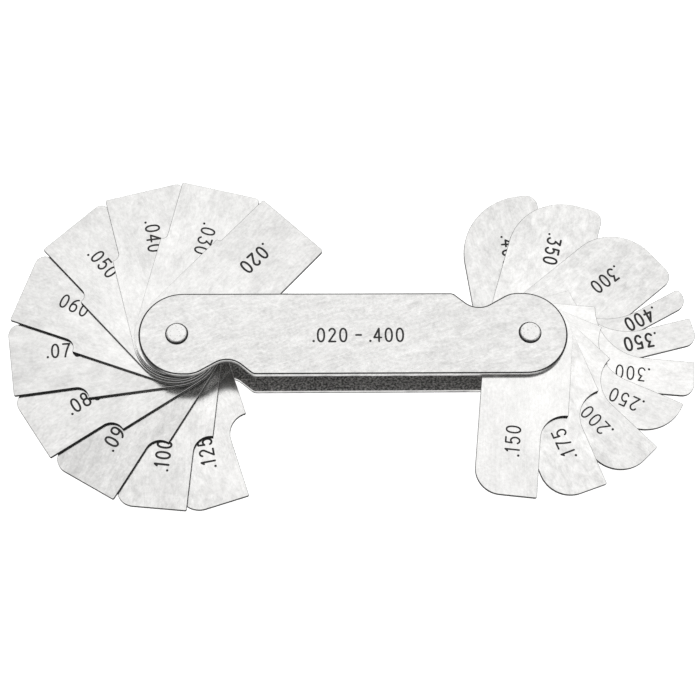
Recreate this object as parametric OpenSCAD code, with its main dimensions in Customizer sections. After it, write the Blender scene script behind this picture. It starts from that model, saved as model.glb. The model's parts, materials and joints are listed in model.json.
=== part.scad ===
// Folding radius gauge: two riveted cover plates form a handle, and a fan of thin
// steel gauge leaves turns about a rivet at each end.
// +X runs along the handle, +Y across it, +Z out of the front cover.
// The origin lies halfway between the rivets, on the flat surface that the gauge
// rests on, which its back rivet heads touch.

/* [Handle] */
// Length of each cover plate, over its rounded ends
handle_l = 63.7; // [62:0.1:66]
// Width of each cover plate
handle_w = 12.9; // [12:0.1:13.4]
// Thickness of each cover plate
cover_t = 1.05; // [0.8:0.05:1.6]
// Distance between the two rivets
pivot_spacing = 52.4; // [52.4:0.1:54]

/* [Finger scallops] */
// Distance of each scallop from the middle of the handle
scallop_x = 18.8; // [18:0.1:19.4]
// Depth of each scallop below the cover's straight edge
scallop_depth = 2.25; // [1.6:0.05:2.6]
// Radius of the scallop's floor
scallop_floor_r = 3.2; // [2.8:0.1:3.6]
// Slope of the ramp nearer the middle, in degrees
inner_ramp = 40; // [36:1:44]
// Slope of the ramp nearer the rivet, in degrees
outer_ramp = 30; // [27:1:34]
// Rounding where the inner ramp meets the straight edge
inner_shoulder_r = 1.2; // [0.6:0.1:2]
// Rounding where the outer ramp meets the end lobe
outer_shoulder_r = 4; // [3:0.1:4.4]

/* [Leaves] */
// Width of every leaf, which is also the diameter of its round base
leaf_w = 13.1; // [12.8:0.1:13.4]
// How far the centre of the round base lies towards the tip from the rivet centre
base_lead = 0.4; // [0:0.05:0.6]
// Thickness of one leaf
leaf_t = 0.6; // [0.4:0.02:0.7]
// Running gap between neighbouring leaves, and between leaf and cover
leaf_gap = 0.04; // [0.02:0.01:0.1]
// Rivet centre to tip on a leaf that carries both radii
combined_leaf_l = 25; // [24.5:0.1:25.2]
// Rivet centre to tip on a leaf that carries one radius
single_leaf_l = 25.4; // [24.8:0.1:25.5]
// Rivet centre to the centre of the concave radius on a leaf with both
combined_notch_x = 15.9; // [15.5:0.1:16.5]
// Rivet centre to the centre of the concave radius on a leaf with one
single_notch_x = 17.8; // [17.5:0.1:18.4]
// Straight lip between the concave radius and the leaf's edge
notch_lip = 0.1; // [0.05:0.05:0.3]
// Rounding of a tip corner that isn't a gauging radius
plain_corner_r = 1.9; // [1.5:0.1:2.2]
// Rounding of the free corner beside the widest concave radius
free_corner_r = 0.6; // [0.3:0.1:0.9]

/* [Rivets] */
// Diameter of the rivet shank
rivet_d = 2.4; // [2:0.1:2.6]
// Radial play of a leaf on its rivet
leaf_play = 0.05; // [0.02:0.01:0.1]
// Radial play of a cover on its rivet
cover_play = 0.01; // [0.01:0.01:0.02]
// Diameter of each rivet head
head_d = 3.2; // [3:0.1:4]
// Height of each rivet head above its cover
head_h = 0.6; // [0.45:0.05:0.8]
// Rounding of the head's shoulder
head_round_r = 0.35; // [0.2:0.05:0.4]
// Radius of the head's slightly crowned top
head_crown_r = 12; // [6:1:20]

/* [Hidden] */

$fn = 96;
inch = 25.4;
end_r = handle_w / 2;
end_x = handle_l / 2 - end_r;
pivot_x = pivot_spacing / 2;
leaf_r = leaf_w / 2;
leaves_per_end = 10;
leaf_pitch = leaf_t + leaf_gap;
back_z = head_h;
front_z = back_z + cover_t + leaves_per_end * leaf_pitch + leaf_gap;
top_z = front_z + cover_t;
margin = 1;

// The two ends of the handle, as the sign of their X coordinate
LEFT = -1;
RIGHT = 1;

// Swing of each leaf out of the handle at rest, in degrees anticlockwise as seen
// from the front. Slot 0 lies against the front cover, slot 9 against the back one.
left_swing = [47, 76.5, 104.5, 132.5, 160.5, 188, 213.5, 239.5, 264.5, 287.5];
right_swing = [83.5, 109.5, 133.5, 155.5, 174.5, 194, 208.5, 219.5, 253, 277.5];

steel = [0.74, 0.74, 0.73];
leaf_steel = [0.80, 0.80, 0.79];
rivet_steel = [0.66, 0.66, 0.66];

function swing(end, slot) = end == LEFT ? left_swing[slot] : right_swing[slot];
function closed_angle(end) = end == LEFT ? 0 : 180;
function slot_z(slot) = front_z - (slot + 1) * leaf_pitch;
function polar(r, angle) = r * [cos(angle), sin(angle)];

// What rounding takes off the convex corner at p, whose two edges leave it in
// directions a and b, less than 180 degrees apart
module corner_trim(p, a, b, r) {
  half = abs(b - a) / 2;
  reach = r / tan(half);
  difference() {
    polygon([p, p + polar(reach, a), p + polar(reach, b)]);
    translate(p + polar(r / sin(half), (a + b) / 2)) circle(r);
  }
}

// ---- handle ----

// A finger scallop in the edge at y = +end_r, on the right-hand half
module scallop() {
  floor_c = [scallop_x, end_r - scallop_depth + scallop_floor_r];
  inner_foot = floor_c + polar(scallop_floor_r, -90 - inner_ramp);
  outer_foot = floor_c + polar(scallop_floor_r, -90 + outer_ramp);
  inner_top = [inner_foot[0] - (end_r - inner_foot[1]) / tan(inner_ramp), end_r];
  outer_top = [outer_foot[0] + (end_r - outer_foot[1]) / tan(outer_ramp), end_r];
  translate(floor_c) circle(scallop_floor_r);
  polygon([
    inner_top + [0, margin], inner_top, inner_foot,
    outer_foot, outer_top, outer_top + [0, margin]
  ]);
  corner_trim(inner_top, 180, 360 - inner_ramp, inner_shoulder_r);
  corner_trim(outer_top, 180 + outer_ramp, 360, outer_shoulder_r);
}

module cover_outline() {
  difference() {
    union() {
      for (side = [LEFT, RIGHT]) translate([side * end_x, 0]) circle(end_r);
      square([2 * end_x, handle_w], center = true);
    }
    for (turn = [0, 180]) rotate(turn) scallop();
    for (side = [LEFT, RIGHT]) translate([side * pivot_x, 0]) circle(rivet_d / 2 + cover_play);
  }
}

module cover(z) {
  color(steel) translate([0, 0, z]) linear_extrude(cover_t) cover_outline();
}

module back_cover() {
  cover(back_z);
}

module front_cover() {
  cover(front_z);
}

// ---- rivets ----

// Half section of one rivet head, standing on y = 0: a round-shouldered disc
// with a crowned top
module head_section() {
  shoulder = [head_d / 2, head_h];
  intersection() {
    difference() {
      square(shoulder);
      corner_trim(shoulder, 180, 270, head_round_r);
    }
    translate([0, head_h - head_crown_r]) circle(head_crown_r);
  }
}

module rivet(side) {
  color(rivet_steel) translate([side * pivot_x, 0, 0]) rotate_extrude() {
    translate([0, back_z]) square([rivet_d / 2, top_z - back_z]);
    translate([0, top_z]) head_section();
    translate([0, back_z]) mirror([0, 1]) head_section();
  }
}

module left_rivet() {
  rivet(LEFT);
}

module right_rivet() {
  rivet(RIGHT);
}

// ---- leaves ----
// A leaf is drawn with its rivet hole at the origin and its tip on +X.

module leaf_blank(length) {
  translate([base_lead, 0]) circle(leaf_r);
  translate([base_lead, -leaf_r]) square([length - base_lead, leaf_w]);
}

// The step cut into the +Y side, which leaves a concave quarter circle of radius r
// centred notch_x from the rivet, and a straight wall from there to the tip
module concave_notch(r, notch_x, lip, length) {
  wall_y = leaf_r - r - lip;
  difference() {
    translate([notch_x - r, wall_y]) square([length - notch_x + r + margin, r + lip + margin]);
    difference() {
      translate([notch_x - r - margin, wall_y - margin]) square([r + margin, r + margin]);
      translate([notch_x, wall_y + r]) circle(r);
    }
  }
}

// Trim of a tip corner, on the +Y side or the -Y side
module tip_trim(r, length, side) {
  corner_trim([length, side * leaf_r], 180, 180 + side * 90, r);
}

module place_leaf(end, slot) {
  color(leaf_steel) translate([end * pivot_x, 0, slot_z(slot)])
    rotate(closed_angle(end) + swing(end, slot)) linear_extrude(leaf_t) difference() {
      children();
      circle(rivet_d / 2 + leaf_play);
    }
}

// Both radii of one size: concave in the notch, convex on the opposite tip corner
module combined_leaf(end, slot, inches) {
  r = inches * inch;
  place_leaf(end, slot) difference() {
    leaf_blank(combined_leaf_l);
    concave_notch(r, combined_notch_x, notch_lip, combined_leaf_l);
    tip_trim(r, combined_leaf_l, -1);
  }
}

// The concave radius only, with the outer tip corner just eased; free_r rounds the
// tip corner beside the step, 0 leaves it sharp
module concave_leaf(end, slot, inches, free_r = 0) {
  r = inches * inch;
  place_leaf(end, slot) difference() {
    leaf_blank(single_leaf_l);
    concave_notch(r, single_notch_x, 0, single_leaf_l);
    tip_trim(plain_corner_r, single_leaf_l, -1);
    if (free_r > 0) corner_trim([single_leaf_l, leaf_r - r], 180, 270, free_r);
  }
}

// The convex radius only, on the +Y tip corner, with the other corner just eased
module convex_leaf(end, slot, inches) {
  place_leaf(end, slot) difference() {
    leaf_blank(single_leaf_l);
    tip_trim(inches * inch, single_leaf_l, 1);
    tip_trim(plain_corner_r, single_leaf_l, -1);
  }
}

module leaf_020() { combined_leaf(LEFT, 0, 0.020); }
module leaf_030() { combined_leaf(LEFT, 1, 0.030); }
module leaf_040() { combined_leaf(LEFT, 2, 0.040); }
module leaf_050() { combined_leaf(LEFT, 3, 0.050); }
module leaf_060() { combined_leaf(LEFT, 4, 0.060); }
module leaf_070() { combined_leaf(LEFT, 5, 0.070); }
module leaf_080() { combined_leaf(LEFT, 6, 0.080); }
module leaf_090() { combined_leaf(LEFT, 7, 0.090); }
module leaf_100() { combined_leaf(LEFT, 8, 0.100); }
module leaf_125() { combined_leaf(LEFT, 9, 0.125); }

module leaf_150() { combined_leaf(RIGHT, 0, 0.150); }
module leaf_175() { combined_leaf(RIGHT, 1, 0.175); }
module leaf_200() { combined_leaf(RIGHT, 2, 0.200); }
module leaf_250() { combined_leaf(RIGHT, 3, 0.250); }
module leaf_300_concave() { concave_leaf(RIGHT, 4, 0.300); }
module leaf_350_concave() { concave_leaf(RIGHT, 5, 0.350); }
module leaf_400_concave() { concave_leaf(RIGHT, 6, 0.400, free_corner_r); }
module leaf_300_convex() { convex_leaf(RIGHT, 7, 0.300); }
module leaf_350_convex() { convex_leaf(RIGHT, 8, 0.350); }
module leaf_400_convex() { convex_leaf(RIGHT, 9, 0.400); }

back_cover();
front_cover();
left_rivet();
right_rivet();
leaf_020();
leaf_030();
leaf_040();
leaf_050();
leaf_060();
leaf_070();
leaf_080();
leaf_090();
leaf_100();
leaf_125();
leaf_150();
leaf_175();
leaf_200();
leaf_250();
leaf_300_concave();
leaf_350_concave();
leaf_400_concave();
leaf_300_convex();
leaf_350_convex();
leaf_400_convex();
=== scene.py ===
import json
import math

import bmesh
import bpy
from mathutils import Matrix, Vector
from mathutils.geometry import delaunay_2d_cdt


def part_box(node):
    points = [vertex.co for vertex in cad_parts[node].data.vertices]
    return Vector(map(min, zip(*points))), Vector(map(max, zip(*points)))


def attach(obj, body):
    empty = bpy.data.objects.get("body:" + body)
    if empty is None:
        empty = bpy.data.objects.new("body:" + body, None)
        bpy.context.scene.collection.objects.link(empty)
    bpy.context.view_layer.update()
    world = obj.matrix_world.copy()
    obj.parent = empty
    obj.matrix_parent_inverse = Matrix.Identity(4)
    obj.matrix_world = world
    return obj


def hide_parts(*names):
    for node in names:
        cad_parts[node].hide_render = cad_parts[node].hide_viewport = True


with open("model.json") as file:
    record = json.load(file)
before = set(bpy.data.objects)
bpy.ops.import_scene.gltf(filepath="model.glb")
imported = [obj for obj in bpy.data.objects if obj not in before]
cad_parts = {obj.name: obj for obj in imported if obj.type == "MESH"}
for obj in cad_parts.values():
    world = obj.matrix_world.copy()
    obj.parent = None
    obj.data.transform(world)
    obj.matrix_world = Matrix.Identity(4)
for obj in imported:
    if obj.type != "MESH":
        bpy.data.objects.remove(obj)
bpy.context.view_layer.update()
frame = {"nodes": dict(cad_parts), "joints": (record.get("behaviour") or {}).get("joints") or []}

MM = 0.001
# Points closer than these are one: WELD in metres in a CAD mesh, and MERGE in
# millimetres in a drawn face.
WELD = 1e-6
MERGE = 1e-4

# ---- marks ----
# A digit is drawn from single strokes about its own centre, x along the reading
# line and y up, in millimetres.

HALF_W = 0.48
HALF_H = 1.02
STROKE = 0.29
DOT_R = 0.19
DOT_RISE = 0.08
MARK_DEPTH = 0.05
ADVANCE = {"1": 1.15, ".": 0.55, "-": 1.5, " ": 0.7}
WIDE_ADVANCE = 1.65


def arc(cx, cy, rx, ry, start, end, steps=14):
    """Points along an upright elliptical arc, with its angles in degrees."""
    points = []
    for i in range(steps + 1):
        a = math.radians(start + (end - start) * i / steps)
        points.append((cx + rx * math.cos(a), cy + ry * math.sin(a)))
    return points


def bend(a, b, c, steps=10):
    """Points along the curve that leaves a towards b and arrives at c."""
    points = []
    for i in range(steps + 1):
        t = i / steps
        s = 1 - t
        points.append(tuple(s * s * a[k] + 2 * s * t * b[k] + t * t * c[k] for k in range(2)))
    return points


def oval(cx, cy, rx, ry, squareness=2.25, steps=28):
    """A closed oval, slightly squarer than an ellipse."""
    points = []
    for i in range(steps):
        a = 2 * math.pi * i / steps
        c, s = math.cos(a), math.sin(a)
        points.append((
            cx + rx * math.copysign(abs(c) ** (2 / squareness), c),
            cy + ry * math.copysign(abs(s) ** (2 / squareness), s),
        ))
    return points


def turned(points):
    """The points turned half a turn about the digit's centre."""
    return [(-x, -y) for x, y in points]


def digit_strokes():
    """For each character, its strokes: pairs of a point list and whether it closes."""
    w, h = HALF_W, HALF_H
    bowl = arc(-0.02, -0.36, 0.48, 0.66, 128, -148, 18)
    six_bowl = oval(0, -0.42, w, 0.60)
    six_stem = bend((0.30, h), (-0.46, 0.72), (-w, -0.42))
    return {
        "0": [(oval(0, 0, w, h), True)],
        "1": [([(0, h), (0, -h)], False), ([(-0.26, h - 0.34), (0, h)], False)],
        "2": [
            (arc(0, 0.52, 0.44, 0.50, 160, -32, 14) + [(-w, -h)], False),
            ([(-w, -h), (0.48, -h)], False),
        ],
        "3": [
            ([(-0.42, h), (0.40, h)], False),
            ([(0.40, h), (-0.04, 0.26)], False),
            (arc(-0.04, -0.38, 0.50, 0.64, 92, -148, 18), False),
        ],
        "4": [
            ([(0.20, h), (-0.52, -0.40)], False),
            ([(-0.52, -0.40), (0.54, -0.40)], False),
            ([(0.20, h), (0.20, -h)], False),
        ],
        "5": [
            ([(-0.34, h), (0.42, h)], False),
            ([(-0.34, h), (-0.40, 0.10)], False),
            (bowl, False),
        ],
        "6": [(six_bowl, True), (six_stem, False)],
        "7": [([(-w, h), (w, h)], False), (bend((w, h), (0.02, 0.1), (-0.16, -h)), False)],
        "8": [(oval(0, 0.52, 0.38, 0.50), True), (oval(0, -0.47, w, 0.55), True)],
        "9": [(turned(six_bowl), True), (turned(six_stem), False)],
        "-": [([(-0.38, 0), (0.38, 0)], False)],
    }


STROKES = digit_strokes()


def stroke_faces(points, closed, half):
    """Convex faces that together cover a stroke of that half width."""
    points = [Vector(p) for p in points]
    count = len(points)
    sides = []
    for i, p in enumerate(points):
        ahead = points[(i + 1) % count] if closed or i < count - 1 else p
        behind = points[i - 1] if closed or i > 0 else p
        a = (ahead - p).normalized() if ahead != p else (p - behind).normalized()
        b = (p - behind).normalized() if behind != p else a
        left = Vector((-a.y - b.y, a.x + b.x))
        left /= max(0.5, 1 + a.dot(b))
        sides.append((p + left * half, p - left * half))
    faces = []
    for i in range(count if closed else count - 1):
        l0, r0 = sides[i]
        l1, r1 = sides[(i + 1) % count]
        faces.append([r0, r1, l1, l0])
    if not closed:
        for end, other in ((points[0], points[1]), (points[-1], points[-2])):
            out = (end - other).normalized()
            across = Vector((-out.y, out.x))
            cap = [end - across * half]
            for k in range(1, 6):
                a = math.pi * k / 6
                cap.append(end - across * half * math.cos(a) + out * half * math.sin(a))
            cap.append(end + across * half)
            faces.append(cap)
    return faces


def dot_face(x, y, radius):
    return [Vector(p) for p in arc(x, y, radius, radius, 0, 330, 11)]


def text_faces(text, at, reading, stroke=STROKE):
    """Faces covering a line of characters. Its first digit is centred at a point of
    the plate, and its reading line is turned by some degrees."""
    turn = Matrix.Rotation(math.radians(reading), 2)
    widths = [ADVANCE.get(c, WIDE_ADVANCE) for c in text]
    first = next(i for i, c in enumerate(text) if c.isdigit())
    start = sum(widths[:first]) + widths[first] / 2
    faces = []
    cursor = 0
    for c, width in zip(text, widths):
        x = cursor + width / 2 - start
        cursor += width
        shapes = []
        if c == ".":
            shapes.append(dot_face(0, -HALF_H + DOT_RISE, DOT_R))
        for points, closed in STROKES.get(c, []):
            shapes.extend(stroke_faces(points, closed, stroke / 2))
        for shape in shapes:
            faces.append([Vector(at) + turn @ (p + Vector((x, 0))) for p in shape])
    return faces


# ---- plates ----

def signed_area(loop):
    return sum(a.x * b.y - b.x * a.y for a, b in zip(loop, loop[1:] + loop[:1])) / 2


def top_loops(node, to_plate):
    """Outlines of a CAD plate's top face in plate millimetres, outermost first.
    Each has the metal on its left."""
    bm = bmesh.new()
    bm.from_mesh(frame["nodes"][node].data)
    bmesh.ops.remove_doubles(bm, verts=bm.verts, dist=WELD)
    top = max(v.co.z for v in bm.verts)
    flat = [f for f in bm.faces if all(abs(v.co.z - top) < WELD for v in f.verts)]
    in_flat = set(flat)
    after = {}
    for face in flat:
        for corner in face.loops:
            if not all(f in in_flat for f in corner.edge.link_faces):
                after[corner.vert] = corner.link_loop_next.vert
    loops = []
    while after:
        vert = next(iter(after))
        loop = []
        while vert in after:
            loop.append((to_plate @ vert.co).to_2d())
            vert = after.pop(vert)
        loops.append(loop)
    bm.free()
    return sorted(loops, key=signed_area, reverse=True)


SHARP_TURN = math.radians(35)


def eased(loop, radius):
    """The loop with its sharp outward corners rounded."""
    rounded = []
    for i, p in enumerate(loop):
        before = p - loop[i - 1]
        after = loop[(i + 1) % len(loop)] - p
        turn = -before.angle_signed(after)
        if turn < SHARP_TURN:
            rounded.append(p)
            continue
        longest = 0.95 * min(before.length, after.length)
        reach = min(radius * math.tan(turn / 2), longest)
        a = p - before.normalized() * reach
        b = p + after.normalized() * reach
        rounded.extend(Vector(q) for q in bend(a, p, b, 5))
    return rounded


def inset(loop, distance):
    """The loop moved into the metal, with mitred corners."""
    moved = []
    for i, p in enumerate(loop):
        a = (p - loop[i - 1]).normalized()
        b = (loop[(i + 1) % len(loop)] - p).normalized()
        left = Vector((-a.y - b.y, a.x + b.x)) / max(0.3, 1 + a.dot(b))
        moved.append(p + left * distance)
    return moved


def triangles(outlines, marks):
    """Constrained triangles of a flat face. Gives the points, pairs of a triangle and
    whether it lies in a mark, and for each point the outline vertex it is, or None."""
    points = [p for loop in outlines for p in loop]
    outline_count = len(points)
    faces = []
    start = 0
    for loop in outlines:
        ids = list(range(start, start + len(loop)))
        faces.append(ids if signed_area(loop) > 0 else ids[::-1])
        start += len(loop)
    holes = set(range(1, len(outlines)))
    for mark in marks:
        ids = list(range(len(points), len(points) + len(mark)))
        points.extend(mark)
        faces.append(ids if signed_area(mark) > 0 else ids[::-1])
    made, _, tris, from_points, _, from_faces = delaunay_2d_cdt(
        points, [], faces, 0, MERGE, True
    )
    kept = []
    for tri, inside in zip(tris, from_faces):
        inside = set(inside)
        if 0 in inside and not inside & holes:
            corners = [made[i] for i in tri]
            ids = list(tri) if signed_area(corners) > 0 else list(tri)[::-1]
            kept.append((ids, any(i >= len(outlines) for i in inside)))
    origin = []
    for sources in from_points:
        ring = [s for s in sources if s < outline_count]
        origin.append(ring[0] if ring else None)
    return made, kept, origin


# The material slots of a plate: its upper face, its cut edge, the rim between the
# two, the floor of a mark, its lower face, and the bevel inside an upper rim.
FACE, WALL, RIM, INK, UNDER, BEVEL = range(6)
# Edges that turn more than this show as creases.
PLATE_CREASE = math.radians(8)


class Plate:
    """A flat plate built up ring by ring, in plate millimetres."""

    def __init__(self):
        self.verts = []
        self.faces = []
        self.slots = []
        self.coords = []

    def vert(self, x, y, z):
        self.verts.append((x, y, z))
        return len(self.verts) - 1

    def face(self, ids, slot, coords):
        self.faces.append(ids)
        self.slots.append(slot)
        self.coords.append(coords)

    def sides(self, loops, low, high, low_rim, high_rim):
        """The walls round every outline, with worn rims. Each rim lists, from the
        wall inwards, how far in and how far from the face an edge of it lies, and
        the slot of the ring between that edge and the next."""
        levels = [(low + rise, distance) for distance, rise, _ in reversed(low_rim)]
        levels += [(high - drop, distance) for distance, drop, _ in high_rim]
        slots = [slot for _, _, slot in reversed(low_rim[:-1])]
        slots.append(WALL)
        slots += [slot for _, _, slot in high_rim[:-1]]
        rings = []
        outlines = []
        for z, distance in levels:
            moved = [inset(loop, distance) for loop in loops]
            rings.append([[self.vert(p.x, p.y, z) for p in loop] for loop in moved])
            outlines.append(moved)
        for n, loop in enumerate(loops):
            lengths = [0]
            for i, p in enumerate(loop):
                lengths.append(lengths[-1] + (loop[(i + 1) % len(loop)] - p).length)
            for k, slot in enumerate(slots):
                lower, upper = rings[k][n], rings[k + 1][n]
                z0, z1 = levels[k][0] - low, levels[k + 1][0] - low
                for i in range(len(loop)):
                    j = (i + 1) % len(loop)
                    ids = [lower[i], lower[j], upper[j], upper[i]]
                    s0, s1 = lengths[i], lengths[i + 1]
                    self.face(ids, slot, [(s0, z0), (s1, z0), (s1, z1), (s0, z1)])
        return (rings[0], outlines[0]), (rings[-1], outlines[-1])

    def cap(self, ring, outlines, z, marks, slot, upward):
        """A flat face inside the ring, with its marks sunk into the metal."""
        flat_ring = [i for loop in ring for i in loop]
        points, tris, origin = triangles(outlines, marks)
        floor = z - MARK_DEPTH if upward else z + MARK_DEPTH
        level = {i: flat_ring[source] for i, source in enumerate(origin) if source is not None}
        sunk = {}

        def at(i, table, height):
            if i not in table:
                table[i] = self.vert(points[i].x, points[i].y, height)
            return table[i]

        def add(ids, made, kind):
            coords = [tuple(points[i]) for i in ids]
            step = 1 if upward else -1
            self.face(made[::step], kind, coords[::step])

        marked_edges = set()
        for ids, marked in tris:
            if marked:
                marked_edges.update(zip(ids, ids[1:] + ids[:1]))
        for ids, marked in tris:
            if marked:
                add(ids, [at(i, sunk, floor) for i in ids], INK)
                continue
            add(ids, [at(i, level, z) for i in ids], slot)
            for a, b in zip(ids, ids[1:] + ids[:1]):
                if (b, a) in marked_edges:
                    rim = [at(b, level, z), at(a, level, z)]
                    foot = [at(a, sunk, floor), at(b, sunk, floor)]
                    add([b, a, a, b], rim + foot, INK)

    def build(self, name, to_row, materials, looks):
        """The finished object, in row metres. Its looks are numbers or functions of
        the distance along the plate, and the materials read them."""
        mesh = bpy.data.meshes.new(name)
        mesh.from_pydata([to_row @ Vector(v) for v in self.verts], [], self.faces)
        for material in materials:
            mesh.materials.append(material)
        grain = mesh.uv_layers.new(name="grain")
        k = 0
        for polygon, slot, coords in zip(mesh.polygons, self.slots, self.coords):
            polygon.material_index = slot
            for c in coords:
                grain.data[k].uv = c
                k += 1
        for label, value in looks.items():
            layer = mesh.attributes.new(label, "FLOAT", "POINT")
            values = [value(x) if callable(value) else value for x, _, _ in self.verts]
            layer.data.foreach_set("value", values)
        mesh.shade_smooth()
        mesh.set_sharp_from_angle(angle=PLATE_CREASE)
        piece = bpy.data.objects.new(name, mesh)
        bpy.context.scene.collection.objects.link(piece)
        return piece


def make_plate(node, body, to_row, rims, corner, marks, materials, low_marks=(), **looks):
    """The plate that stands for a CAD node: the same outline and thickness, with
    worn rims, and its marks sunk into it."""
    to_plate = to_row.inverted()
    loops = top_loops(node, to_plate)
    loops[0] = eased(loops[0], corner)
    low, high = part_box(node)
    low_z = (to_plate @ low).z
    high_z = (to_plate @ high).z
    plate = Plate()
    bottom, top = plate.sides(loops, low_z, high_z, *rims)
    plate.cap(*bottom, low_z, low_marks, UNDER, False)
    plate.cap(*top, high_z, marks, FACE, True)
    piece = plate.build(node + "_plate", to_row, materials, looks)
    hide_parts(node)
    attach(piece, body)
    return piece


# ---- materials ----

STEEL_TINT = (1.0, 0.994, 0.981)
DARK_TINT = (1.0, 0.98, 0.96)


class Nodes:
    """A material and short calls for writing its node tree from left to right."""

    def __init__(self, name):
        self.material = bpy.data.materials.new(name)
        self.material.use_nodes = True
        self.tree = self.material.node_tree
        self.tree.nodes.clear()
        self.shader = self.node("ShaderNodeBsdfPrincipled")
        output = self.node("ShaderNodeOutputMaterial")
        self.link(self.shader.outputs[0], output.inputs["Surface"])

    def node(self, kind, **settings):
        made = self.tree.nodes.new(kind)
        for key, value in settings.items():
            setattr(made, key, value)
        return made

    def link(self, source, target):
        self.tree.links.new(source, target)

    def feed(self, socket, value):
        if isinstance(value, bpy.types.NodeSocket):
            self.link(value, socket)
        else:
            socket.default_value = value

    def math(self, operation, a, b):
        made = self.node("ShaderNodeMath", operation=operation)
        self.feed(made.inputs[0], a)
        self.feed(made.inputs[1], b)
        return made.outputs[0]

    def attribute(self, name):
        return self.node("ShaderNodeAttribute", attribute_name=name).outputs["Fac"]

    def plane(self):
        """Position on the piece in millimetres, with the piece's own seed as depth."""
        coords = self.node("ShaderNodeUVMap", uv_map="grain").outputs[0]
        split = self.node("ShaderNodeSeparateXYZ")
        self.link(coords, split.inputs[0])
        joined = self.node("ShaderNodeCombineXYZ")
        self.link(split.outputs[0], joined.inputs[0])
        self.link(split.outputs[1], joined.inputs[1])
        self.link(self.attribute("seed"), joined.inputs[2])
        return joined.outputs[0]

    def noise(self, where, scale, turn=0.0, shift=0.0, detail=3.0, rough=0.55, warp=0.0):
        """Noise stretched by a scale for each axis, after a turn in degrees."""
        turned_space = self.node("ShaderNodeMapping")
        turned_space.inputs["Rotation"].default_value = (0, 0, math.radians(-turn))
        turned_space.inputs["Location"].default_value = (shift, shift * 1.7, 0)
        self.link(where, turned_space.inputs[0])
        scaled = self.node("ShaderNodeMapping")
        scaled.inputs["Scale"].default_value = (scale[0], scale[1], 1.0)
        self.link(turned_space.outputs[0], scaled.inputs[0])
        made = self.node("ShaderNodeTexNoise")
        made.inputs["Scale"].default_value = 1.0
        made.inputs["Detail"].default_value = detail
        made.inputs["Roughness"].default_value = rough
        made.inputs["Distortion"].default_value = warp
        self.link(scaled.outputs[0], made.inputs["Vector"])
        return made.outputs[0]

    def spread(self, value, low, high, to_low, to_high):
        """The value mapped from one range to another, and held at its ends."""
        made = self.node("ShaderNodeMapRange")
        made.inputs["From Min"].default_value = low
        made.inputs["From Max"].default_value = high
        made.inputs["To Min"].default_value = to_low
        made.inputs["To Max"].default_value = to_high
        self.link(value, made.inputs["Value"])
        return made.outputs[0]

    def total(self, *values):
        result = values[0]
        for value in values[1:]:
            result = self.math("ADD", result, value)
        return result

    def grey(self, value, tint=STEEL_TINT):
        """A colour from a brightness and a faint tint."""
        joined = self.node("ShaderNodeCombineColor")
        for socket, share in zip(joined.inputs, tint):
            self.feed(socket, self.math("MULTIPLY", value, share))
        return joined.outputs[0]

    def bump(self, height, distance):
        made = self.node("ShaderNodeBump")
        made.inputs["Distance"].default_value = distance
        made.inputs["Strength"].default_value = 1.0
        self.link(height, made.inputs["Height"])
        self.link(made.outputs[0], self.shader.inputs["Normal"])


def leaf_face():
    """Satin ground steel with a lengthwise grain, soft clouding and handling marks."""
    n = Nodes("leaf_satin")
    where = n.plane()
    cloud = n.noise(where, (0.13, 0.18), detail=3, rough=0.6)
    mottle = n.noise(where, (0.55, 0.8), shift=31, detail=4, rough=0.62, warp=0.5)
    fleck = n.noise(where, (1.9, 2.4), shift=57, detail=2, rough=0.6)
    grain = n.noise(where, (0.5, 5.0), turn=4, shift=12, detail=3, rough=0.55)
    scuff = n.noise(where, (0.30, 2.6), turn=-38, shift=77, detail=4, rough=0.6)
    along = n.node("ShaderNodeSeparateXYZ")
    n.link(where, along.inputs[0])
    handled = n.total(
        n.spread(mottle, 0.25, 0.75, -0.08, 0.08),
        n.spread(scuff, 0.60, 0.80, 0.0, 0.07),
    )
    value = n.total(
        n.math("MULTIPLY", handled, n.attribute("wear")),
        n.spread(along.outputs[0], 9.0, 22.0, 0.045, -0.005),
        n.spread(cloud, 0.3, 0.7, -0.05, 0.05),
        n.spread(fleck, 0.25, 0.75, -0.06, 0.06),
        n.spread(grain, 0.25, 0.75, -0.03, 0.03),
        n.attribute("tone"),
    )
    value = n.math("ADD", value, 0.64)
    n.link(n.grey(value), n.shader.inputs["Base Color"])
    n.shader.inputs["Metallic"].default_value = 1.0
    rough = n.total(
        n.spread(mottle, 0.2, 0.8, 0.12, 0.20),
        n.spread(scuff, 0.6, 0.8, 0.0, -0.03),
    )
    n.link(rough, n.shader.inputs["Roughness"])
    n.bump(n.total(n.math("MULTIPLY", grain, 0.7), n.math("MULTIPLY", fleck, 0.5)), 0.000006)
    return n.material


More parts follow.
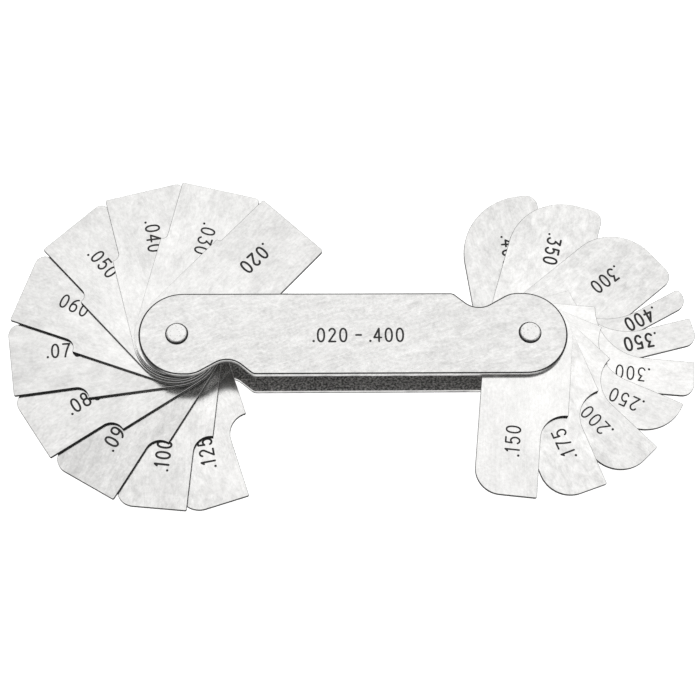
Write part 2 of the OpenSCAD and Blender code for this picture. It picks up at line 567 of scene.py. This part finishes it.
def cover_face():
    """Brushed steel with fine streaks a little off the handle's length."""
    n = Nodes("cover_brushed")
    where = n.plane()
    cloud = n.noise(where, (0.10, 0.2), turn=10, detail=3, rough=0.6)
    mottle = n.noise(where, (0.5, 0.9), turn=12, shift=31, detail=4, rough=0.62, warp=0.6)
    streak = n.noise(where, (0.20, 2.0), turn=15, shift=22, detail=4, rough=0.6)
    fine = n.noise(where, (0.6, 5.0), turn=22, shift=41, detail=3, rough=0.55)
    fleck = n.noise(where, (1.9, 2.4), shift=63, detail=2, rough=0.6)
    scratch = n.noise(where, (0.16, 3.0), turn=24, shift=85, detail=4, rough=0.55)
    value = n.total(
        n.spread(cloud, 0.3, 0.7, -0.04, 0.04),
        n.spread(mottle, 0.25, 0.75, -0.085, 0.085),
        n.spread(streak, 0.25, 0.75, -0.04, 0.04),
        n.spread(fine, 0.25, 0.75, -0.035, 0.035),
        n.spread(fleck, 0.25, 0.75, -0.08, 0.08),
        n.spread(scratch, 0.60, 0.80, 0.0, 0.14),
    )
    value = n.math("ADD", value, 0.66)
    n.link(n.grey(value), n.shader.inputs["Base Color"])
    n.shader.inputs["Metallic"].default_value = 1.0
    n.link(n.spread(streak, 0.2, 0.8, 0.22, 0.32), n.shader.inputs["Roughness"])
    n.bump(n.total(n.math("MULTIPLY", streak, 0.6), n.math("MULTIPLY", fine, 0.6)), 0.000008)
    return n.material


def edge_value(n, where, marks, base):
    """A base brightness varied by the marks and by soft blotches."""
    blotch = n.noise(where, (0.6, 0.6), shift=19, detail=3, rough=0.6)
    varied = n.total(
        n.spread(marks, 0.3, 0.7, -0.15 * base, 0.15 * base),
        n.spread(blotch, 0.3, 0.7, -0.15 * base, 0.15 * base),
    )
    return n.math("ADD", varied, base)


def dark_painted_edge(name, base, rough, metal):
    """An edge painted dark as shade, faintly marked across its thickness."""
    n = Nodes(name)
    where = n.plane()
    marks = n.noise(where, (5.0, 0.8), detail=3, rough=0.6)
    value = edge_value(n, where, marks, base)
    n.link(n.grey(value), n.shader.inputs["Base Color"])
    n.shader.inputs["Metallic"].default_value = metal
    n.shader.inputs["Specular IOR Level"].default_value = 0.1
    n.link(n.spread(marks, 0.2, 0.8, rough - 0.06, rough + 0.08), n.shader.inputs["Roughness"])
    n.bump(marks, 0.00001)
    return n.material


def partly_shaded_edge(name, base, rough, shade_line):
    """A cut edge, bright where the plate's unshaded value is 1. It is painted dark and dull as
    shade where that value is 0, and below the shade line in millimetres. A shade line below 0
    paints no shade."""
    n = Nodes(name)
    where = n.plane()
    marks = n.noise(where, (5.0, 0.8), detail=3, rough=0.6)
    split = n.node("ShaderNodeSeparateXYZ")
    n.link(where, split.inputs[0])
    wavy = n.noise(where, (0.6, 0.6), shift=19, detail=3, rough=0.6)
    height = n.math("ADD", split.outputs[1], n.spread(wavy, 0.3, 0.7, -0.06, 0.06))
    # The edge is painted dark as shade below the shade line, and where the unshaded value is 0.
    above_shade = n.spread(height, shade_line - 0.04, shade_line + 0.04, 0.0, 1.0)
    bright = n.math("MULTIPLY", above_shade, n.attribute("grip"))
    value = n.math("MULTIPLY", edge_value(n, where, marks, base), bright)
    value = n.math("ADD", value, n.spread(bright, 0, 1, 0.04, 0.0))
    n.link(n.grey(value), n.shader.inputs["Base Color"])
    n.link(bright, n.shader.inputs["Metallic"])
    n.shader.inputs["Specular IOR Level"].default_value = 0.1
    n.link(n.spread(marks, 0.2, 0.8, rough - 0.06, rough + 0.08), n.shader.inputs["Roughness"])
    n.bump(marks, 0.00001)
    return n.material


def mark_ink():
    """The blackened floor of an engraved mark."""
    n = Nodes("mark_black")
    where = n.plane()
    patch = n.noise(where, (2.0, 2.0), detail=3, rough=0.6)
    n.link(n.grey(n.spread(patch, 0.3, 0.75, 0.012, 0.05)), n.shader.inputs["Base Color"])
    n.link(n.spread(patch, 0.2, 0.8, 0.6, 0.8), n.shader.inputs["Roughness"])
    n.bump(patch, 0.00001)
    return n.material


def cover_inside_shaded():
    """The inner side of a cover, painted darker than its outer face as the shade between the
    covers, and finely speckled.
    """
    n = Nodes("cover_inside_shaded")
    where = n.plane()
    speckle = n.noise(where, (2.9, 3.6), detail=3, rough=0.6)
    cloud = n.noise(where, (0.3, 0.3), shift=13, detail=3, rough=0.6)
    value = n.total(
        n.spread(speckle, 0.42, 0.70, 0.08, 0.66),
        n.spread(cloud, 0.3, 0.7, -0.03, 0.06),
    )
    n.link(n.grey(value, DARK_TINT), n.shader.inputs["Base Color"])
    n.shader.inputs["Metallic"].default_value = 0.35
    n.link(n.spread(speckle, 0.2, 0.8, 0.5, 0.65), n.shader.inputs["Roughness"])
    n.bump(speckle, 0.00002)
    return n.material


def rivet_steel():
    """Tumbled steel with small dents, the strongest painted darker as shade."""
    n = Nodes("rivet_satin")
    where = n.plane()
    cloud = n.noise(where, (0.8, 0.8), detail=3, rough=0.6)
    dent = n.noise(where, (3.2, 3.2), shift=9, detail=3, rough=0.6)
    value = n.math("ADD", n.total(
        n.spread(cloud, 0.3, 0.7, -0.06, 0.05),
        n.spread(dent, 0.3, 0.7, -0.05, 0.05),
        # The strongest dents are painted darker, as shade.
        n.spread(dent, 0.56, 0.70, 0.0, -0.5),
    ), 0.76)
    n.link(n.grey(value), n.shader.inputs["Base Color"])
    n.shader.inputs["Metallic"].default_value = 1.0
    n.link(n.spread(dent, 0.2, 0.8, 0.26, 0.40), n.shader.inputs["Roughness"])
    n.bump(n.total(cloud, n.math("MULTIPLY", dent, 0.4)), 0.00006)
    return n.material


LEAF_FACE = leaf_face()
COVER_FACE = cover_face()
COVER_INSIDE_SHADED = cover_inside_shaded()
# The leaves' cut edges are painted near black, as shade.
LEAF_EDGE = dark_painted_edge("leaf_edge", 0.035, 0.7, 0.0)
# Leaf rims: rubbed bright near the rivet, painted dark as shade further out.
LEAF_RIM = partly_shaded_edge("leaf_rim", 0.95, 0.3, -0.2)
# The lower part of the front cover's edge is painted dark, as the shadow over the first leaf.
FRONT_EDGE = partly_shaded_edge("front_edge", 0.58, 0.3, 0.30)
# The lower part of the back cover's edge is painted dark, as the contact shadow under it.
BACK_EDGE = partly_shaded_edge("back_edge", 0.60, 0.3, 0.45)
COVER_RIM = partly_shaded_edge("cover_rim", 0.62, 0.14, -0.2)
# The inner step of the front cover's upper rim is painted dark, as shade.
COVER_BEVEL = dark_painted_edge("cover_bevel", 0.09, 0.14, 1.0)
# The rivet heads' rims are painted dark, as shade.
RIVET_RIM = dark_painted_edge("rivet_rim", 0.10, 0.4, 1.0)
INK_BLACK = mark_ink()
RIVET_STEEL = rivet_steel()

# ---- leaves ----
# The mark of each leaf: its text, where its first digit is centred along and
# across the leaf in millimetres, how far its reading line is turned in degrees,
# and how wide its strokes are. Then how much lighter than usual the leaf is, and
# how strong its handling marks are.

LEAF_MARKS = {
    "leaf_020": (".020", 18.43, 0.04, -1.9, 0.33, 0.00, 1.0),
    "leaf_030": (".030", 17.85, -0.14, -3.0, 0.28, 0.03, 0.9),
    "leaf_040": (".040", 18.62, -0.49, -6.5, 0.29, 0.02, 0.9),
    "leaf_050": (".050", 18.55, -0.14, -3.0, 0.29, 0.01, 0.9),
    "leaf_060": ("060", 18.46, -0.60, -6.0, 0.27, 0.00, 0.9),
    "leaf_070": (".070", 18.32, -1.53, -4.7, 0.29, -0.03, 0.9),
    "leaf_080": (".080", 17.71, -0.49, -1.2, 0.31, -0.02, 0.9),
    "leaf_090": (".090", 17.68, -0.74, 0.0, 0.32, -0.07, 1.2),
    "leaf_100": (".100", 18.32, -0.49, -1.4, 0.33, 0.01, 1.2),
    "leaf_125": (".125", 18.21, -0.96, -6.8, 0.30, 0.03, 1.0),
    "leaf_150": (".150", 18.07, -1.39, 0.0, 0.26, 0.06, 0.6),
    "leaf_175": (".175", 18.64, -1.53, 1.3, 0.27, 0.05, 1.6),
    "leaf_200": (".200", 17.43, -2.27, -2.5, 0.24, 0.02, 1.4),
    "leaf_250": (".250", 18.32, -2.93, -1.2, 0.25, 0.06, 1.0),
    "leaf_300_concave": (".300", 17.43, -3.73, -2.4, 0.24, 0.08, 1.0),
    "leaf_350_concave": (".350", 18.29, -4.21, -3.1, 0.35, 0.02, 1.0),
    "leaf_400_concave": (".400", 19.00, -5.09, -3.6, 0.34, 0.00, 1.1),
    "leaf_300_convex": (".300", 18.38, -0.06, -2.3, 0.31, 0.00, 1.4),
    "leaf_350_convex": (".350", 18.39, -0.17, 3.1, 0.33, 0.04, 1.5),
    "leaf_400_convex": (".400", 17.64, -0.75, -4.6, 0.31, 0.00, 1.3),
}

pivots = {joint["child"]: Vector(joint["pos_m"]) for joint in frame["joints"]}
swings = {joint["child"]: -joint["range_deg"][0] for joint in frame["joints"]}


def leaf_place(node):
    """From leaf millimetres, rivet at the origin and tip on +X, to row metres."""
    pivot = pivots[node]
    closed = 0 if pivot.x < 0 else 180
    angle = math.radians(closed + swings[node])
    return (
        Matrix.Translation((pivot.x, pivot.y, 0))
        @ Matrix.Rotation(angle, 4, "Z")
        @ Matrix.Scale(MM, 4)
    )


# Rims as Plate.sides takes them, in millimetres.
LEAF_RIMS = (
    ((0, 0.040, RIM), (0.055, 0, UNDER)),
    ((0, 0.040, RIM), (0.055, 0, FACE)),
)
INNER_RIM = ((0, 0.02, RIM), (0.02, 0, UNDER))
FRONT_RIMS = (INNER_RIM, ((0, 0.20, RIM), (0.07, 0.10, BEVEL), (0.26, 0, FACE)))
BACK_RIMS = (((0, 0.04, RIM), (0.04, 0, FACE)), INNER_RIM)

LEAF_CORNER = 0.25
LEAF_MATERIALS = [LEAF_FACE, LEAF_EDGE, LEAF_RIM, INK_BLACK, LEAF_FACE]
SEED_STEP = 3.7
# A leaf's rim is rubbed bright out to this distance along it, and the rubbing fades over
# the last of it, in millimetres. Further out the rim is painted dark as shade.
RUBBED_TO = 10.0
RUBBED_FADE = 2.0


def rim_rub_and_shade(x):
    """How bright a leaf's rim is rubbed, this far out from its rivet. Where this is 0 the rim is
    painted dark as shade.
    """
    return min(1.0, max(0.0, (RUBBED_TO - x) / RUBBED_FADE))


for order, (node, row) in enumerate(LEAF_MARKS.items()):
    text, along, across, turn, stroke, tone, wear = row
    marks = text_faces(text, (along, across), 180 + turn, stroke)
    leaf = make_plate(
        node, node, leaf_place(node), LEAF_RIMS, LEAF_CORNER, marks, LEAF_MATERIALS,
        seed=order * SEED_STEP, tone=tone, wear=wear, grip=rim_rub_and_shade,
    )

# ---- covers ----

COVER_PLACE = Matrix.Scale(MM, 4)
COVER_CORNER = 0.0
# Sizes of the black rings of painted shade round the rivet heads.
SHADE_RING_GAP = 0.01
SHADE_RING_HALF_W = 0.10
SHADE_RING_STEPS = 48
# A cover's edge is unshaded this much at a rivet, before it is held at 1, and this falls by 1
# over this many millimetres past it, where the edge is painted dark as shade.
UNSHADED_AT_RIVET = 1.3
SHADE_FADE = 2.2


def rivet_shade_rings():
    """A groove round each rivet head, sunk into a cover's outer face and blackened as painted
    shade.
    """
    faces = []
    for node in ("left_rivet", "right_rivet"):
        low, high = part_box(node)
        centre = (low + high) / 2 / MM
        radius = (high.x - low.x) / 2 / MM + SHADE_RING_GAP
        last = 360 - 360 / SHADE_RING_STEPS
        ring = arc(centre.x, centre.y, radius, radius, 0, last, SHADE_RING_STEPS - 1)
        faces.extend(stroke_faces(ring, True, SHADE_RING_HALF_W))
    return faces


def grip(x):
    """How far a cover's edge is left unshaded, this far along from its middle. Past the rivets
    its edge is painted dark as shade.
    """
    past_rivet = abs(x) - abs(pivots["leaf_020"].x) / MM
    return min(1.0, max(0.0, UNSHADED_AT_RIVET - past_rivet / SHADE_FADE))


range_marks = text_faces(".020 - .400", (-4.9, -0.3), 0)
front = make_plate(
    "front_cover", "handle", COVER_PLACE, FRONT_RIMS, COVER_CORNER,
    range_marks + rivet_shade_rings(),
    [COVER_FACE, FRONT_EDGE, COVER_RIM, INK_BLACK, COVER_INSIDE_SHADED, COVER_BEVEL],
    seed=101.0, grip=grip,
)
back = make_plate(
    "back_cover", "handle", COVER_PLACE, BACK_RIMS, COVER_CORNER, [],
    [COVER_INSIDE_SHADED, BACK_EDGE, COVER_RIM, INK_BLACK, COVER_FACE],
    low_marks=rivet_shade_rings(), seed=113.0, grip=grip,
)

# ---- rivets ----
# Shares of the head's radius: the nearly flat crown, the round that leads down from
# it, the shank, and where the rim painted dark as shade begins.

CROWN_SHARE = 0.78
ROUND_SHARE = 1 - CROWN_SHARE
SHANK_SHARE = 0.75
RIM_SHARE = 0.93
CROWN_DROP = 0.065 * MM
CROWN_STEPS = 8
ROUND_STEPS = 12
TURNS = 72
RIVET_CREASE = math.radians(40)


def rivet_half(head_r, head_h):
    """Radius and height above the cover of a rivet's upper half, from the crown down."""
    crown_r = CROWN_SHARE * head_r
    round_r = ROUND_SHARE * head_r
    half = []
    for k in range(CROWN_STEPS + 1):
        share = k / CROWN_STEPS
        half.append((crown_r * share, head_h - CROWN_DROP * share ** 2))
    for k in range(1, ROUND_STEPS + 1):
        a = math.pi / 2 * k / ROUND_STEPS
        drop = CROWN_DROP + round_r * (1 - math.cos(a))
        half.append((crown_r + round_r * math.sin(a), head_h - drop))
    half.append((head_r, 0.0))
    half.append((SHANK_SHARE * head_r, 0.0))
    return half


def lathed(centre_x, profile):
    """Points and faces of a profile turned about a vertical line, closed at both ends."""
    verts = [(centre_x, 0, profile[0][1])]
    for r, z in profile[1:-1]:
        for k in range(TURNS):
            a = 2 * math.pi * k / TURNS
            verts.append((centre_x + r * math.cos(a), r * math.sin(a), z))
    verts.append((centre_x, 0, profile[-1][1]))
    faces = []
    rows = len(profile) - 2
    last = 1 + (rows - 1) * TURNS
    for k in range(TURNS):
        j = (k + 1) % TURNS
        faces.append((0, 1 + k, 1 + j))
        faces.append((len(verts) - 1, last + j, last + k))
        for row in range(rows - 1):
            a = 1 + row * TURNS
            b = a + TURNS
            faces.append((a + k, b + k, b + j, a + j))
    return verts, faces


def make_rivet(node, seed):
    """A lathed copy of the CAD rivet, finer, with a slightly worked crown."""
    low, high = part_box(node)
    cover_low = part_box("back_cover")[0].z
    cover_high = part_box("front_cover")[1].z
    centre_x = (low.x + high.x) / 2
    head_r = (high.x - low.x) / 2
    half = rivet_half(head_r, high.z - cover_high)
    profile = [(r, cover_high + h) for r, h in half]
    profile += [(r, cover_low - h) for r, h in reversed(half)]
    verts, faces = lathed(centre_x, profile)
    mesh = bpy.data.meshes.new(node + "_turned")
    mesh.from_pydata(verts, [], faces)
    mesh.materials.append(RIVET_STEEL)
    mesh.materials.append(RIVET_RIM)
    # Faces outside a circle set a little off the head's centre are painted dark as shade.
    for polygon in mesh.polygons:
        centre = polygon.center
        shade_r = math.hypot(centre.x - centre_x, 1.05 * centre.y + 0.06 * MM)
        polygon.material_index = int(shade_r > RIM_SHARE * head_r)
    grain = mesh.uv_layers.new(name="grain")
    for corner in mesh.loops:
        co = mesh.vertices[corner.vertex_index].co
        grain.data[corner.index].uv = ((co.x - centre_x) / MM, (co.y + co.z) / MM)
    layer = mesh.attributes.new("seed", "FLOAT", "POINT")
    layer.data.foreach_set("value", [seed] * len(mesh.vertices))
    mesh.shade_smooth()
    mesh.set_sharp_from_angle(angle=RIVET_CREASE)
    piece = bpy.data.objects.new(node + "_turned", mesh)
    bpy.context.scene.collection.objects.link(piece)
    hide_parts(node)
    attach(piece, "handle")


make_rivet("left_rivet", 3.0)
make_rivet("right_rivet", 8.0)

# ---- floor, light and camera ----

# A round floor whose edge sweeps up into a wall, in metres.
FLAT_R = 1.2
SWEEP_R = 0.4
WALL_TOP = 0.75
FLOOR_STEPS = 96
# The paint darkens, and its glow fades, up to this height.
FADE_TOP = 0.25
WHITE = (1, 1, 1)


def floor_paint():
    """Pale paint with faint clouds. It glows a little, so that it photographs white."""
    n = Nodes("pale_floor")
    position = n.node("ShaderNodeNewGeometry").outputs["Position"]
    cloud = n.node("ShaderNodeTexNoise")
    cloud.inputs["Scale"].default_value = 6.0
    n.link(position, cloud.inputs["Vector"])
    split = n.node("ShaderNodeSeparateXYZ")
    n.link(position, split.inputs[0])
    height = split.outputs[2]
    shade = n.spread(height, 0.0, FADE_TOP, 0.0, -0.25)
    paint = n.math("ADD", n.spread(cloud.outputs[0], 0.3, 0.7, 0.88, 0.92), shade)
    n.link(n.grey(paint, WHITE), n.shader.inputs["Base Color"])
    n.shader.inputs["Roughness"].default_value = 0.9
    n.shader.inputs["Specular IOR Level"].default_value = 0.1
    n.shader.inputs["Emission Color"].default_value = (*WHITE, 1)
    n.link(n.spread(height, 0.0, FADE_TOP, 0.7, 0.1), n.shader.inputs["Emission Strength"])
    return n.material


def make_floor():
    profile = [(FLAT_R + x, y) for x, y in arc(0, SWEEP_R, SWEEP_R, SWEEP_R, -90, 0)]
    profile.append((FLAT_R + SWEEP_R, WALL_TOP))
    verts = []
    for r, z in profile:
        for k in range(FLOOR_STEPS):
            a = 2 * math.pi * k / FLOOR_STEPS
            verts.append((r * math.cos(a), r * math.sin(a), z))
    faces = [list(range(FLOOR_STEPS))]
    for row in range(len(profile) - 1):
        for k in range(FLOOR_STEPS):
            a = row * FLOOR_STEPS + k
            b = row * FLOOR_STEPS + (k + 1) % FLOOR_STEPS
            faces.append((b, a, a + FLOOR_STEPS, b + FLOOR_STEPS))
    mesh = bpy.data.meshes.new("floor")
    mesh.from_pydata(verts, [], faces)
    mesh.shade_smooth()
    mesh.materials.append(floor_paint())
    floor = bpy.data.objects.new("floor", mesh)
    bpy.context.scene.collection.objects.link(floor)


def panel(name, place, aim, size, radiance):
    """A rectangular softbox of an even radiance, facing the aim point."""
    data = bpy.data.lights.new(name, "AREA")
    data.shape = "RECTANGLE"
    data.size, data.size_y = size
    data.energy = radiance * math.pi * size[0] * size[1]
    light = bpy.data.objects.new(name, data)
    light.location = place
    light.rotation_euler = (Vector(aim) - Vector(place)).to_track_quat("-Z", "Y").to_euler()
    bpy.context.scene.collection.objects.link(light)


def make_light():
    """One large softbox overhead, and an even white room."""
    panel(
        "overhead", place=(0.05, 0.37, 0.72), aim=(0.01, 0.08, 0), size=(1.3, 1.12),
        radiance=0.875,
    )
    world = bpy.data.worlds.new("studio")
    world.use_nodes = True
    background = world.node_tree.nodes["Background"]
    background.inputs["Color"].default_value = (*WHITE, 1)
    background.inputs["Strength"].default_value = 0.4
    bpy.context.scene.world = world


# The camera leans back from straight above towards -Y, turns and rolls a little,
# and looks at a point of the front cover's face.
TILT = math.radians(20.38)
YAW = math.radians(-2.22)
ROLL = math.radians(-1.0)
DISTANCE = 0.24685
LENS = 86.0
SENSOR_W = 36
AIM = Vector((-0.00064, -0.00267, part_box("front_cover")[1].z))


def make_camera():
    outward = Vector((
        math.sin(YAW) * math.cos(TILT),
        -math.sin(TILT),
        math.cos(YAW) * math.cos(TILT),
    ))
    right = Vector((0, 1, 0)).cross(outward).normalized()
    up = outward.cross(right)
    rolled_right = right * math.cos(ROLL) + up * math.sin(ROLL)
    rolled_up = up * math.cos(ROLL) - right * math.sin(ROLL)
    place = Matrix((rolled_right, rolled_up, outward)).transposed().to_4x4()
    place.translation = AIM + outward * DISTANCE
    data = bpy.data.cameras.new("camera")
    data.lens = LENS
    data.sensor_width = SENSOR_W
    data.clip_start = 0.005
    data.clip_end = 10
    camera = bpy.data.objects.new("camera", data)
    camera.matrix_world = place
    bpy.context.scene.collection.objects.link(camera)
    bpy.context.scene.camera = camera


make_floor()
make_light()
make_camera()
bpy.context.scene.view_settings.view_transform = "Standard"
